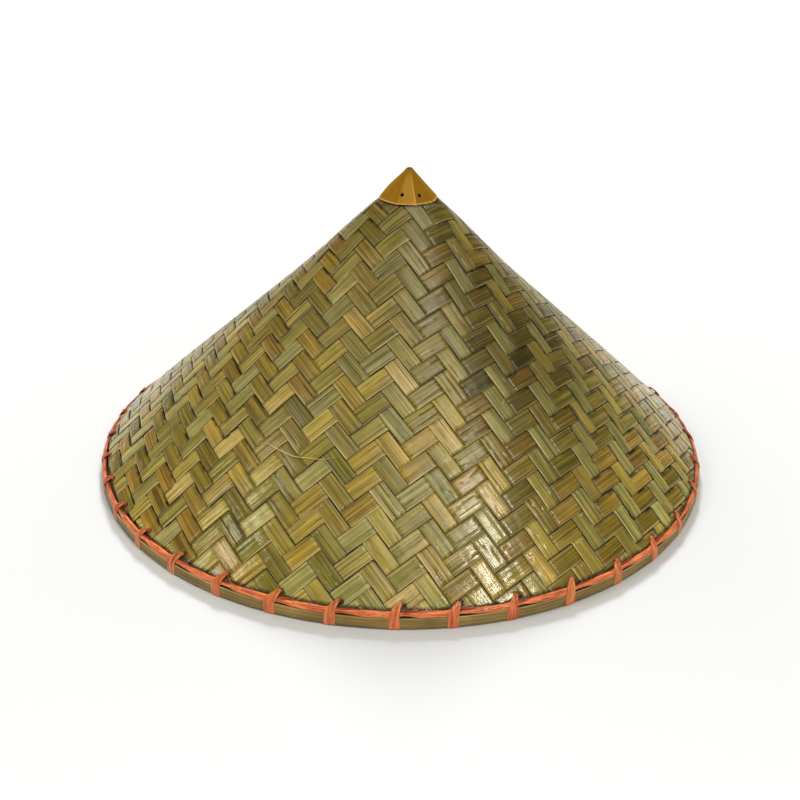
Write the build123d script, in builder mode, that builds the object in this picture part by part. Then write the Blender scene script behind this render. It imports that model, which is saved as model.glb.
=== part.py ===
from build123d import *
import math
import os

# A conical hat of woven bamboo.  Three conical skins (outer twill weave, leaf lining, open inner
# weave) end in a short upright skirt, which is held between two bamboo hoops.  A ribbon of cane
# runs round the top of the outer hoop, and cane loops lash it, the hoops and the skins together.
# A rolled cap covers the apex, and a head ring hangs on cane ties inside.
# Frame: origin at the centre of the base, on the surface that the hat rests on, +Z up, front at -Y.

# ---- driving dimensions, mm -------------------------------------------------------------------
RIM_RADIUS = 210.0           # outer face of the outer hoop
APEX_HEIGHT = 194.6          # where the cone's straight sides would meet
PEAK_FOOT_RADIUS = 28.0      # above here the weave bunches up into a steeper peak
PEAK_SHOULDER_RADIUS = 18.0
PEAK_RISE = 4.4              # of the shoulder above the straight cone
PEAK_TIP_RISE = 3.0
GAP = 0.1                    # between skins that lie on each other

HOOP_HEIGHT = 7.0
OUTER_HOOP_THICKNESS = 2.4
INNER_HOOP_THICKNESS = 2.3
HOOP_EDGE_CHAMFER = 0.35
SCARF_ANGLE = 8.0            # of the slanted cut between a hoop's two ends
SCARF_GAP = 0.15
SCARF_REACH = 48.0           # length of the cut, from well inside the lath to well outside
OUTER_SCARF_AZIMUTH = -42.0  # counted from +X, towards +Y
INNER_SCARF_AZIMUTH = 130.0

OUTER_WEAVE_THICKNESS = 1.3
LINING_THICKNESS = 0.4
INNER_WEAVE_THICKNESS = 0.8
SKIRT_BOTTOM = 0.8
SKIRT_TOP = 9.9              # where the outer weave bends from the cone into the skirt
TIE_ROOM = 2.0               # air between lining and inner weave at the apex, none at the rim

STRAND_INSET = 0.3           # of the running ribbon's outer face from the outer hoop's
STRAND_EDGE = 0.9            # height of that outer face
STRAND_RIDGE = 0.9           # how far the running ribbon stands above the weave's bend
STRAND_OVERLAP = 0.4         # how far it reaches in over the weave

LOOP_COUNT = 37
LOOP_WIDTH = 6.6
LASHING_THICKNESS = 0.45
LOOP_HOLE_RADIUS = 204.5     # where a loop goes through the skins
LOOP_SHOULDER = 0.6          # above the hoop's top, where a loop turns down its face

CAP_RADIUS = 18.8
CAP_TOP = 202.6              # where the cap's straight sides would meet
CAP_THICKNESS = 0.7
CAP_TIP_RADIUS = 1.2
CAP_HOLE_DIAMETER = 2.3
CAP_HOLE_RADIUS = 14.0       # distance of the punched holes from the axis
CAP_HOLE_AZIMUTHS = (-108.0, -63.0)
PUNCH_LENGTH = 4.0
STITCH_AZIMUTHS = (60.0, 120.0)
STITCH_THICKNESS = 0.6
STITCH_WIDTH = 1.8
STITCH_LEAN = 2.0            # how far inwards a stitch's hidden run lies from its outer run

RING_INNER_RADIUS = 92.0
RING_THICKNESS = 2.0
RING_BOTTOM = 72.0
RING_HEIGHT = 32.0
TIE_COUNT = 6
TIE_WIDTH = 3.0
TIE_THICKNESS = 0.7
TIE_RECESS = 0.05            # of a tie's face from the ring's inner face
TIE_DEPTH = 5.4              # how far below the ring's top edge a tie goes through it
TIE_SPAN = 4.7               # how much of the inner weave a tie goes round
PASSAGE = 0.12               # room all round a ribbon where it goes through something

# ---- derived ----------------------------------------------------------------------------------
FRONT = -90.0
SKIRT_RADIUS = RIM_RADIUS - OUTER_HOOP_THICKNESS - 2 * GAP
HOOP_BOTTOM = LASHING_THICKNESS + GAP
HOOP_TOP = HOOP_BOTTOM + HOOP_HEIGHT
SLOPE = (APEX_HEIGHT - SKIRT_TOP) / SKIRT_RADIUS
SLANT = math.atan(SLOPE)


def peak_rise(radius):
    """How far the peak stands above the straight cone."""
    if radius >= PEAK_FOOT_RADIUS:
        return 0.0
    if radius >= PEAK_SHOULDER_RADIUS:
        flank = PEAK_FOOT_RADIUS - PEAK_SHOULDER_RADIUS
        return PEAK_RISE * (PEAK_FOOT_RADIUS - radius) / flank
    return PEAK_TIP_RISE + (PEAK_RISE - PEAK_TIP_RISE) * radius / PEAK_SHOULDER_RADIUS


class Skin:
    """A conical shell with a skirt and a peak: it is z = apex - slope * r between the two."""

    def __init__(self, skirt_radius, bend, apex, thickness):
        self.skirt_radius = skirt_radius
        self.bend = bend
        self.apex = apex
        self.thickness = thickness
        self.slope = (apex - bend) / skirt_radius
        self.inner_apex = apex - thickness * math.hypot(1, self.slope)

    def outside(self, radius):
        return self.apex - self.slope * radius + peak_rise(radius)

    def inside(self, radius):
        return self.inner_apex - self.slope * radius + peak_rise(radius)

    def section(self):
        inner_radius = self.skirt_radius - self.thickness
        peak = (PEAK_FOOT_RADIUS, PEAK_SHOULDER_RADIUS, 0)
        return [
            (self.skirt_radius, SKIRT_BOTTOM),
            (self.skirt_radius, self.bend),
            *[(radius, self.outside(radius)) for radius in peak],
            *[(radius, self.inside(radius)) for radius in reversed(peak)],
            (inner_radius, self.inside(inner_radius)),
            (inner_radius, SKIRT_BOTTOM),
        ]


def skin_under(skin, thickness, apex_room):
    """The next skin inwards, GAP away at the rim and apex_room away at the apex."""
    skirt_radius = skin.skirt_radius - skin.thickness - GAP
    bend = skin.inside(skirt_radius) - GAP * math.hypot(1, skin.slope)
    apex = skin.inner_apex - apex_room * math.hypot(1, skin.slope)
    return Skin(skirt_radius, bend, apex, thickness)


WEAVE = Skin(SKIRT_RADIUS, SKIRT_TOP, APEX_HEIGHT, OUTER_WEAVE_THICKNESS)
LINING = skin_under(WEAVE, LINING_THICKNESS, GAP)
INNER = skin_under(LINING, INNER_WEAVE_THICKNESS, TIE_ROOM)

INNER_HOOP_OUTER_RADIUS = INNER.skirt_radius - INNER.thickness - 2 * GAP
INNER_HOOP_RADIUS = INNER_HOOP_OUTER_RADIUS - INNER_HOOP_THICKNESS


def revolved(section):
    """A solid of revolution about the hat's axis, from a closed outline in (radius, height)."""
    with BuildPart() as body:
        with BuildSketch(Plane.XZ):
            with BuildLine():
                Polyline(*section, close=True)
            make_face()
        revolve(axis=Axis.Z)
    return body.part


def ribbon_loop(outline, thickness, width, room=0.0):
    """A closed band of ribbon round an outline drawn in the plane of the axis and +X.

    room makes the band fatter all round, which gives the hole that the ribbon needs."""
    with BuildSketch(Plane.XZ) as inside:
        with BuildLine():
            Polyline(*outline, close=True)
        make_face()
        if room > 0:
            offset(amount=-room, kind=Kind.INTERSECTION)
    with BuildPart() as band:
        with BuildSketch(Plane.XZ):
            with BuildLine():
                Polyline(*outline, close=True)
            make_face()
            offset(amount=thickness + room, kind=Kind.ARC)
            add(inside.sketch, mode=Mode.SUBTRACT)
        extrude(amount=width / 2 + room, both=True)
    return band.part


def hoop(inner_radius, outer_radius, scarf_azimuth):
    """A bent lath whose two ends meet in a slanted scarf."""
    middle = (inner_radius + outer_radius) / 2
    scarf_place = Location((0, 0, 0), (0, 0, scarf_azimuth)) * Location((middle, 0, 0))
    with BuildPart() as lath:
        with BuildSketch(Plane.XY.offset(HOOP_BOTTOM)):
            Circle(outer_radius)
            Circle(inner_radius, mode=Mode.SUBTRACT)
        extrude(amount=HOOP_HEIGHT)
        chamfer(lath.edges().filter_by(GeomType.CIRCLE), HOOP_EDGE_CHAMFER)
        with BuildSketch(Plane.XY):
            with Locations(scarf_place):
                Rectangle(SCARF_REACH, SCARF_GAP, rotation=90 + SCARF_ANGLE)
        extrude(amount=HOOP_TOP + GAP, mode=Mode.SUBTRACT)
    return lath.part


# ---- outlines that the ribbons are wound round --------------------------------------------------
# Rim loops: from the hole in the skins, over the running ribbon, round both hoops and back up.
hole_top = (LOOP_HOLE_RADIUS, WEAVE.outside(LOOP_HOLE_RADIUS) + GAP)
skins_depth = (hole_top[1] - INNER.inside(LOOP_HOLE_RADIUS) + GAP) * math.cos(SLANT)
hole_bottom = (
    hole_top[0] - skins_depth * math.sin(SLANT),
    hole_top[1] - skins_depth * math.cos(SLANT),
)
STRAND_FACE = RIM_RADIUS - STRAND_INSET
STRAND_EDGE_TOP = HOOP_TOP + GAP + STRAND_EDGE
STRAND_FOOT = SKIRT_RADIUS - STRAND_OVERLAP
STRAND_SECTION = [
    (SKIRT_RADIUS + GAP, HOOP_TOP + GAP),
    (STRAND_FACE, HOOP_TOP + GAP),
    (STRAND_FACE, STRAND_EDGE_TOP),
    (SKIRT_RADIUS - GAP, SKIRT_TOP + STRAND_RIDGE),
    (STRAND_FOOT, WEAVE.outside(STRAND_FOOT) + 2 * GAP),
    (SKIRT_RADIUS + GAP, SKIRT_TOP + GAP),
]
LOOP_OUTLINE = [
    hole_top,
    (SKIRT_RADIUS, SKIRT_TOP + STRAND_RIDGE + 2 * GAP),
    (STRAND_FACE + 2 * GAP, STRAND_EDGE_TOP + GAP),
    (RIM_RADIUS + GAP, HOOP_TOP + LOOP_SHOULDER),
    (RIM_RADIUS + GAP, LASHING_THICKNESS),
    (INNER_HOOP_RADIUS - GAP, LASHING_THICKNESS),
    (INNER_HOOP_RADIUS - GAP, HOOP_TOP),
    hole_bottom,
]

# Cap stitches: out through the cap, over its edge, in through the skins and back up inside.
CAP_EDGE = WEAVE.outside(CAP_RADIUS) + GAP
CAP_SLOPE = (CAP_TOP - CAP_EDGE - CAP_THICKNESS) / CAP_RADIUS
CAP_INNER_TOP = CAP_TOP - CAP_THICKNESS * math.hypot(1, CAP_SLOPE)


def cap_outside(radius):
    return CAP_TOP - CAP_SLOPE * radius


STITCH_LOW = CAP_RADIUS - STITCH_LEAN
STITCH_HIGH = CAP_HOLE_RADIUS - STITCH_LEAN
STITCH_OUTLINE = [
    (CAP_HOLE_RADIUS, cap_outside(CAP_HOLE_RADIUS) + GAP),
    (CAP_RADIUS + GAP, cap_outside(CAP_RADIUS) + GAP),
    (CAP_RADIUS + 4 * GAP, WEAVE.outside(CAP_RADIUS)),
    (STITCH_LOW, INNER.inside(STITCH_LOW) - GAP),
    (STITCH_HIGH, INNER.inside(STITCH_HIGH) - GAP),
]

# Ring ties: up a groove in the ring's inner face, through the inner weave and over it, and back
# down to a slot through the ring.
RING_TOP = RING_BOTTOM + RING_HEIGHT
RING_OUTER_RADIUS = RING_INNER_RADIUS + RING_THICKNESS
TIE_INNER = RING_INNER_RADIUS + TIE_RECESS + TIE_THICKNESS
TIE_OUTER = TIE_INNER + TIE_SPAN
TIE_OUTLINE = [
    (TIE_INNER, RING_TOP - TIE_DEPTH),
    (TIE_INNER, INNER.outside(TIE_INNER) + GAP),
    (TIE_OUTER, INNER.outside(TIE_OUTER) + GAP),
    (TIE_OUTER, INNER.inside(TIE_OUTER)),
    (RING_OUTER_RADIUS + 3 * GAP, RING_TOP - TIE_DEPTH),
]


def around(shape, azimuths):
    """The same solid repeated at several azimuths about the hat's axis."""
    with BuildPart() as group:
        with Locations(*[Location((0, 0, 0), (0, 0, azimuth)) for azimuth in azimuths]):
            add(shape)
    return group.part


LOOP_AZIMUTHS = [FRONT + 360 * n / LOOP_COUNT for n in range(LOOP_COUNT)]
TIE_AZIMUTHS = [FRONT + 360 * (n + 0.5) / TIE_COUNT for n in range(TIE_COUNT)]

loop_passages = around(
    ribbon_loop(LOOP_OUTLINE, LASHING_THICKNESS, LOOP_WIDTH, PASSAGE), LOOP_AZIMUTHS
)
stitch_passages = around(
    ribbon_loop(STITCH_OUTLINE, STITCH_THICKNESS, STITCH_WIDTH, PASSAGE), STITCH_AZIMUTHS
)
tie_passages = around(ribbon_loop(TIE_OUTLINE, TIE_THICKNESS, TIE_WIDTH, PASSAGE), TIE_AZIMUTHS)

# ---- skins ------------------------------------------------------------------------------------
with BuildPart() as outer_weave:
    add(revolved(WEAVE.section()))
    add(loop_passages, mode=Mode.SUBTRACT)
    add(stitch_passages, mode=Mode.SUBTRACT)

with BuildPart() as leaf_lining:
    add(revolved(LINING.section()))
    add(loop_passages, mode=Mode.SUBTRACT)
    add(stitch_passages, mode=Mode.SUBTRACT)

with BuildPart() as inner_weave:
    add(revolved(INNER.section()))
    add(loop_passages, mode=Mode.SUBTRACT)
    add(stitch_passages, mode=Mode.SUBTRACT)
    add(tie_passages, mode=Mode.SUBTRACT)

# ---- rim --------------------------------------------------------------------------------------
with BuildPart() as rim_outer_hoop:
    add(hoop(RIM_RADIUS - OUTER_HOOP_THICKNESS, RIM_RADIUS, OUTER_SCARF_AZIMUTH))

with BuildPart() as rim_inner_hoop:
    add(hoop(INNER_HOOP_RADIUS, INNER_HOOP_OUTER_RADIUS, INNER_SCARF_AZIMUTH))

with BuildPart() as rim_binding_strand:
    add(revolved(STRAND_SECTION))

with BuildPart() as rim_binding_loops:
    add(around(ribbon_loop(LOOP_OUTLINE, LASHING_THICKNESS, LOOP_WIDTH), LOOP_AZIMUTHS))

# ---- tip cap: a blunt conical shell with punched holes, stitched on at the back -------------------
with BuildPart() as tip_cap:
    with BuildSketch(Plane.XZ):
        with BuildLine():
            Polyline(
                (CAP_RADIUS, cap_outside(CAP_RADIUS)),
                (CAP_TIP_RADIUS, cap_outside(CAP_TIP_RADIUS)),
                (0, cap_outside(CAP_TIP_RADIUS) + CAP_TIP_RADIUS / 2),
                (0, CAP_INNER_TOP),
                (CAP_RADIUS - CAP_THICKNESS, WEAVE.outside(CAP_RADIUS - CAP_THICKNESS) + GAP),
                (CAP_RADIUS, CAP_EDGE),
                close=True,
            )
        make_face()
    revolve(axis=Axis.Z)
    for azimuth in CAP_HOLE_AZIMUTHS:
        outwards = Vector(CAP_SLOPE, 0, 1).rotate(Axis.Z, azimuth)
        place = Vector(CAP_HOLE_RADIUS, 0, cap_outside(CAP_HOLE_RADIUS)).rotate(Axis.Z, azimuth)
        with Locations(Plane(place, z_dir=outwards)):
            Cylinder(CAP_HOLE_DIAMETER / 2, PUNCH_LENGTH, mode=Mode.SUBTRACT)
    add(stitch_passages, mode=Mode.SUBTRACT)

with BuildPart() as cap_stitches:
    add(around(ribbon_loop(STITCH_OUTLINE, STITCH_THICKNESS, STITCH_WIDTH), STITCH_AZIMUTHS))

# ---- head ring ----------------------------------------------------------------------------------
with BuildPart() as head_ring:
    with BuildSketch(Plane.XZ):
        with Locations((RING_INNER_RADIUS + RING_THICKNESS / 2, RING_BOTTOM + RING_HEIGHT / 2)):
            RectangleRounded(RING_THICKNESS, RING_HEIGHT, RING_THICKNESS / 4)
    revolve(axis=Axis.Z)
    add(tie_passages, mode=Mode.SUBTRACT)

with BuildPart() as head_ring_ties:
    add(around(ribbon_loop(TIE_OUTLINE, TIE_THICKNESS, TIE_WIDTH), TIE_AZIMUTHS))

# ---- export -----------------------------------------------------------------------------------
os.makedirs("parts", exist_ok=True)
PIECES = {
    "tip_cap": tip_cap,
    "cap_stitches": cap_stitches,
    "outer_weave": outer_weave,
    "leaf_lining": leaf_lining,
    "inner_weave": inner_weave,
    "rim_outer_hoop": rim_outer_hoop,
    "rim_inner_hoop": rim_inner_hoop,
    "rim_binding_strand": rim_binding_strand,
    "rim_binding_loops": rim_binding_loops,
    "head_ring": head_ring,
    "head_ring_ties": head_ring_ties,
}
for name, piece in PIECES.items():
    piece.part.label = name
    export_step(piece.part, f"parts/{name}.step")
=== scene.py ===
from math import atan2, cos, pi, radians, sin, sqrt

import bmesh
import bpy
import numpy as np
from mathutils import Matrix, Vector


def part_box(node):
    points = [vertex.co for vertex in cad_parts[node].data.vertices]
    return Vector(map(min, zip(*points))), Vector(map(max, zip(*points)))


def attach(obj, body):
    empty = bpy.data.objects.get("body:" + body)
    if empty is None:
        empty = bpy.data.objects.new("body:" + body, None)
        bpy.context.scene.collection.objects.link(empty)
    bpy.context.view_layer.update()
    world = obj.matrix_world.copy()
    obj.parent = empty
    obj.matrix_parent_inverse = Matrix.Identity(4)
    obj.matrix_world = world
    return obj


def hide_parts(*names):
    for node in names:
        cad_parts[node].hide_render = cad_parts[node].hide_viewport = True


# A conical hat of woven bamboo, dressed around its CAD frame.  Metres, +Z up, front at -Y.
# The outer twill, the leaves and the inner hexagonal weave are laid out on a flat sheet and
# wrapped on the cone.  A place on the sheet is (slant, turn): its distance from the apex and its
# angle from the front, to the right.  Three quarters of a turn of sheet close into the cone.

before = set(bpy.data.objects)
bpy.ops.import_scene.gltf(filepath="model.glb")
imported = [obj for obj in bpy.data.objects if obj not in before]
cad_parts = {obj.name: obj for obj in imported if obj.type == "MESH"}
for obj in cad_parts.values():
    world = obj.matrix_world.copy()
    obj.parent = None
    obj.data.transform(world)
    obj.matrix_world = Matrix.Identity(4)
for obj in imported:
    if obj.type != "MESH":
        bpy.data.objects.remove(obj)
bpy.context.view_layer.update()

MM = 0.001
FULL_TURN = 2 * pi

# ---- sizes, from the frame
weave_low, weave_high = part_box("outer_weave")
hoop_low, hoop_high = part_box("rim_outer_hoop")
inner_hoop_low, inner_hoop_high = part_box("rim_inner_hoop")
strand_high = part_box("rim_binding_strand")[1]
loops_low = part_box("rim_binding_loops")[0]
cap_low, cap_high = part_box("tip_cap")
ring_low, ring_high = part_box("head_ring")

RIM_RADIUS = hoop_high.x
INNER_HOOP_RADIUS = inner_hoop_high.x
OUTER_HOOP_THICKNESS, INNER_HOOP_THICKNESS = 2.4 * MM, 2.3 * MM
SKIRT_RADIUS = weave_high.x
SKIRT_BOTTOM = weave_low.z
SKIRT_TOP = strand_high.z - 0.9 * MM
PEAK_TIP_RISE = 3.0 * MM
APEX_HEIGHT = weave_high.z - PEAK_TIP_RISE  # where the straight sides would meet
SLOPE = (APEX_HEIGHT - SKIRT_TOP) / SKIRT_RADIUS
SHEET_TURN = 0.75  # turn on the sheet over turn on the cone
SHEET_WHOLE = FULL_TURN * SHEET_TURN
PEAK_FOOT = 82 * MM  # above here the sides swell into the peak
PEAK_FLANK = 60 * MM
PEAK_SHOULDER = 18 * MM
PEAK_RISE = 4.15 * MM
LEAN = 0.0179  # sideways over height: the peak leans right

LOOP_COUNT = 37
LOOP_HOLE_RADIUS = 204.3 * MM


# ---- small tools
def ramp(x, start=0, reach=1):
    """0 up to start and 1 from start + reach, smooth in between; reach may be negative."""
    x = np.clip((x - start) / reach, 0, 1)
    return x * x * (3 - 2 * x)


def bell(x, middle=0, reach=1):
    return np.exp(-np.square((x - middle) / reach))


def waves(x, seed):
    """Smooth noise, mostly within -1..1, that changes about once per unit of x."""
    local = np.random.RandomState(seed)
    total = 0
    for octave in range(4):
        rate = (1.7 ** octave) * local.uniform(0.8, 1.25)
        phase = local.uniform(0, FULL_TURN)
        total = total + np.sin(rate * x * 2 * pi + phase) / (1 + 0.6 * octave)
    return total / 1.8


def stacked(*parts):
    """The parts side by side at each point; they need not all have the points' full shape."""
    return np.stack(np.broadcast_arrays(*parts), -1)


def around(count):
    """Angles all the way round."""
    return np.linspace(0, FULL_TURN, count, endpoint=False)


def wrapped_to(angle, start, whole=FULL_TURN):
    """The angle brought to between start and start + whole."""
    return (angle - start) % whole + start


def step_levels(at, places, levels):
    """Levels between places that need not be in order."""
    order = np.argsort(places)
    return np.interp(at, np.array(places)[order], np.array(levels)[order])


def both_faces(outer, inner):
    """A closed outline from the rows of a sheet's two faces."""
    return np.concatenate([outer, inner[:, ::-1]], 1)


def curve_through(stations, steps):
    """Rows of numbers between stations, on a smooth curve through them."""
    padded = np.array([stations[0], *stations, stations[-1]], float)
    rows = []
    for before, start, end, after in zip(padded, padded[1:], padded[2:], padded[3:]):
        for step in range(steps):
            t = step / steps
            pull = (end - before) * t / 2 + (2 * before - 5 * start + 4 * end - after) * t * t / 2
            bend = (3 * start - before - 3 * end + after) * t ** 3 / 2
            rows.append(start + pull + bend)
    return np.array(rows + [padded[-1]])


def polar(radius, azimuth, height):
    """World points from distance to the axis, angle from the front and height."""
    return stacked(radius * np.sin(azimuth) + LEAN * height, -radius * np.cos(azimuth), height)


def linked(name, data):
    thing = bpy.data.objects.new(name, data)
    bpy.context.scene.collection.objects.link(thing)
    return thing


def direction(azimuth, elevation):
    level = cos(elevation)
    return Vector((sin(azimuth) * level, -cos(azimuth) * level, sin(elevation)))


def turn_faces_outwards(mesh):
    work = bmesh.new()
    work.from_mesh(mesh)
    bmesh.ops.recalc_face_normals(work, faces=work.faces)
    work.to_mesh(mesh)
    work.free()


class Batch:
    """Grids of points, gathered into one mesh with three values at each point.

    fibre is (along, across, number) in metres, for streaks that follow the material, tint is the
    colour that the material starts from, and shine, kept as its alpha, is 0 where it is dull."""

    def __init__(self):
        self.points, self.faces, self.fibres, self.colors = [], [], [], []
        self.count = 0

    def grid(self, points, fibre, tint, loop=False, shine=1.0):
        """points is (rings, row, 3).  A ring is a closed outline.  The rings meet again if loop,
        or else the first and the last have a face on them."""
        rings, row = points.shape[:2]
        index = np.arange(rings * row).reshape(rings, row) + self.count
        first = index if loop else index[:-1]
        second = np.roll(index, -1, 0) if loop else index[1:]
        corners = [first, second, np.roll(second, -1, 1), np.roll(first, -1, 1)]
        self.faces += np.stack(corners, -1).reshape(-1, 4).tolist()
        if not loop:
            self.faces += [index[0].tolist(), index[-1][::-1].tolist()]
        tints = np.broadcast_to(tint, points.shape)
        shines = np.broadcast_to(shine, points.shape[:2])[..., None]
        self.points.append(points.reshape(-1, 3))
        self.fibres.append(np.broadcast_to(fibre, points.shape).reshape(-1, 3))
        self.colors.append(np.concatenate([tints, shines], -1).reshape(-1, 4))
        self.count += rings * row

    def piece(self, name, material, node, slot, smooth_angle=40):
        mesh = bpy.data.meshes.new(name)
        mesh.from_pydata(np.concatenate(self.points).tolist(), [], self.faces)
        for key, kind, field, rows in (("fibre", "FLOAT_VECTOR", "vector", self.fibres),
                                       ("tint", "FLOAT_COLOR", "color", self.colors)):
            values = mesh.attributes.new(key, kind, "POINT").data
            values.foreach_set(field, np.concatenate(rows).astype(np.float32).ravel())
        mesh.materials.append(material)
        turn_faces_outwards(mesh)
        mesh.shade_smooth()
        mesh.set_sharp_from_angle(angle=radians(smooth_angle))
        thing = linked(name, mesh)
        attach(thing, "root")
        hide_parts(node)
        return thing


# ---- the cone
def peak_rise(radius):
    """How far the peak stands above the straight cone."""
    flank = ramp(radius, PEAK_FOOT, -PEAK_FLANK)
    top = np.clip(1 - radius / PEAK_SHOULDER, 0, 1)
    return PEAK_RISE * flank - (PEAK_RISE - PEAK_TIP_RISE) * top


def make_meridian():
    """The outer surface's outline, apex to skirt: slant, radius, height and outward direction."""
    bend = SKIRT_RADIUS / SHEET_TURN
    slant = np.arange(0, bend + SKIRT_TOP - SKIRT_BOTTOM, 0.25 * MM)
    radius = np.minimum(slant * SHEET_TURN, SKIRT_RADIUS)
    height = APEX_HEIGHT - SLOPE * radius + peak_rise(radius) - np.maximum(slant - bend, 0)
    window = np.ones(13) / 13
    radius, height = (np.convolve(np.pad(row, len(window) // 2, "edge"), window, "valid")
                      for row in (radius, height))
    outward, upward = np.gradient(radius), np.gradient(height)
    length = np.hypot(outward, upward)
    return slant, radius, height, -upward / length, outward / length


MERIDIAN = make_meridian()
SLANT_END = MERIDIAN[0][-1]

# How far the lacing strays from even spacing: it lags at the front and leads at the right.
DRIFT_PLACES = np.radians([-180, -95, -70, -50, 0, 15, 40, 58, 70, 95, 180])
LOOP_DRIFTS = np.radians([0, 1.0, -1.4, -1.0, -0.7, -1.9, -1.2, -1.3, 0.7, 1.2, 0])
EVEN_AZIMUTHS = (np.arange(LOOP_COUNT) - LOOP_COUNT // 2) * FULL_TURN / LOOP_COUNT
LOOP_AZIMUTHS = EVEN_AZIMUTHS + np.interp(EVEN_AZIMUTHS, DRIFT_PLACES, LOOP_DRIFTS)
PIT_SHIFT = 5.0 * MM  # to the right from a loop to where it pulls the weave down
PIT_DEPTH = 1.7 * MM
PIT_REACH = 1.35 * MM


def pit(slant, azimuth):
    """How deep in one of the lacing's dimples a place is, 0 to 1."""
    turned = wrapped_to(azimuth, -pi)
    centres = LOOP_AZIMUTHS + PIT_SHIFT / LOOP_HOLE_RADIUS
    nearest = centres[np.abs(turned[..., None] - centres).argmin(-1)]
    aside = (turned - nearest) * LOOP_HOLE_RADIUS
    along = slant - LOOP_HOLE_RADIUS / SHEET_TURN
    return ramp(1.6 - np.hypot(aside, along) / PIT_REACH)


def on_cone(slant, turn, lift):
    """World points of places on the sheet; lift is outwards from the weave's surface."""
    slant = np.clip(slant, 0.2 * MM, SLANT_END)
    radius, height, outward, upward = (np.interp(slant, MERIDIAN[0], row) for row in MERIDIAN[1:])
    azimuth = turn / SHEET_TURN
    waver = 0.35 * MM * np.sin(3 * azimuth + 1.0) + 0.25 * MM * np.sin(5 * azimuth + slant * 20)
    rim_fade = np.clip((SLANT_END - 20 * MM - slant) / (30 * MM), 0, 1)
    lift = lift + waver * np.clip(slant / (100 * MM), 0, 1) * rim_fade
    return polar(np.maximum(radius + lift * outward, 0), azimuth, height + lift * upward)


# ---- outer twill
PITCH = 10.96 * MM
SPLINT_THICKNESS = 0.5 * MM
WEAVE_DEPTH = 0.46 * MM  # how far a splint goes above or below the middle of the weave
DIVE = 1.2 * MM  # half the length over which a splint changes sides
SPLINT_STEP = 1.1 * MM
SPLINT_NORMALS = np.radians([-53.0, 37.0, 127.0])
SPLINT_TONES = np.array([
    [0.165, 0.130, 0.014],  # olive
    [0.232, 0.150, 0.016],  # gold brown
    [0.205, 0.180, 0.045],  # grey green
    [0.310, 0.218, 0.060],  # tan
    [0.100, 0.093, 0.005],  # dark green
    [0.240, 0.175, 0.022],  # straw
])
TONE_SHARES = [0.25, 0.20, 0.20, 0.10, 0.08, 0.17]
# Across a splint from edge to edge, as a share of half its width.
SPLINT_ROW = np.array([-1, -0.93, -0.72, -0.45, -0.38, -0.31, 0.02,
                       0.35, 0.42, 0.49, 0.75, 0.91, 1])
CRACK_PLACES = (4, 8)  # places in the row that can open into a crack between fibres
EDGE_PITH_HIGHLIGHT_TINT = np.array([0.62, 0.50, 0.26])  # the lower long edge's pale pith, with painted highlight where it catches the light
# How much of it each place takes: painted shade on the upper long edge, pith with painted highlight
# on the lower.
EDGE_PITH_HIGHLIGHT_AND_SHADE = np.array([-0.95] + [0] * 10 + [0.25, 0.8] + [0] * 3)
CROSSWISE_SHADE_TONE = np.array([0.88, 0.81, 0.38])  # painted shade where a splint runs across the slope
UPSLOPE_SHEEN_TONE = np.array([1.16, 1.23, 1.45])  # painted sheen where it runs up the slope
GAP_SHADE_EDGE = np.array([0, 0.95, 0.35] + [0] * 13)  # painted shade of a wider gap along the upper edge, round at the sides
# painted shade on the splints' undersides
UNDERSIDE_SHADE_TINT = np.array([0.030, 0.022, 0.008])
SHADY_PATCH = (radians(47), 138 * MM)  # azimuth and slant of its middle
SHADY_REACH = (radians(35), 105 * MM)
SHADY_DEPTH = 0.57
SHADY_TONE = np.array([1.0, 0.97, 1.5])  # how much of each colour the shade takes
SHEEN_PATCH = (radians(3), 172 * MM)  # a painted sheen in the middle of the front
SHEEN_PATCH_REACH = (radians(14), 38 * MM)
SHEEN_PATCH_GAIN = 0.30
SHEEN_AZIMUTH = radians(6)  # a greyer band from the peak to the rim
SHEEN_REACH = radians(17)
SHEEN_TONE = np.array([1.02, 1.07, 1.45])
CAP_SHADE_SLANT = cap_high.x * np.hypot(1, SLOPE) + 1 * MM
RIM_SHADOW_SLANT = 273.2 * MM  # from here down the weave is tucked in behind the lacing
# The weaver's drift: a family's normal, its shift there and how that grows with the distance.
DRIFTS = [(SPLINT_NORMALS[0], 7.24 * MM, -0.0685), (SPLINT_NORMALS[1], -6.9 * MM, 0.0493)]
# A splint is over the one that it crosses where this sum is 2 or 3 of every 4: its own number, the
# other's, each with its factor, and a start, left and right of the splint's middle.
TWILL_STEPS = [[(1, 1, 2), (1, -1, 1)], [(-1, 1, 3), (-1, -1, 2)], [(-1, -1, 0), (1, 1, 0)]]


def drifted(slant, turn):
    """Places on the sheet, moved as the splints of the front half stray."""
    wrapped = wrapped_to(turn, -SHEET_WHOLE / 2, SHEET_WHOLE)
    share = ramp(np.abs(wrapped), radians(125), -radians(60)) * ramp(slant, 4 * MM, 22 * MM)
    x, y = slant * np.sin(wrapped), slant * np.cos(wrapped)
    for normal, shift, growth in DRIFTS:
        aside = (shift + growth * (slant * np.cos(wrapped - normal))) * share
        x, y = x + aside * sin(normal), y + aside * cos(normal)
    return np.hypot(x, y), turn + wrapped_to(np.arctan2(x, y) - wrapped, -pi)


def twill_level(family, number, along):
    """-1 where a splint is under and +1 where it is over, with smooth dives between."""
    places, levels = [], []
    for side in (-1, 1):
        own, others, start = TWILL_STEPS[family][side > 0]
        for crossed in range(int(SLANT_END / PITCH) + 2):
            level = 1.0 if (own * number + others * crossed + start) % 4 >= 2 else -1.0
            near = max(crossed * PITCH + DIVE, 0.35 * PITCH)
            places += [side * near, side * ((crossed + 1) * PITCH - DIVE)]
            levels += [level, level]
    level = step_levels(along, places, levels)
    return 1.5 * level - 0.5 * level ** 3


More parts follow.
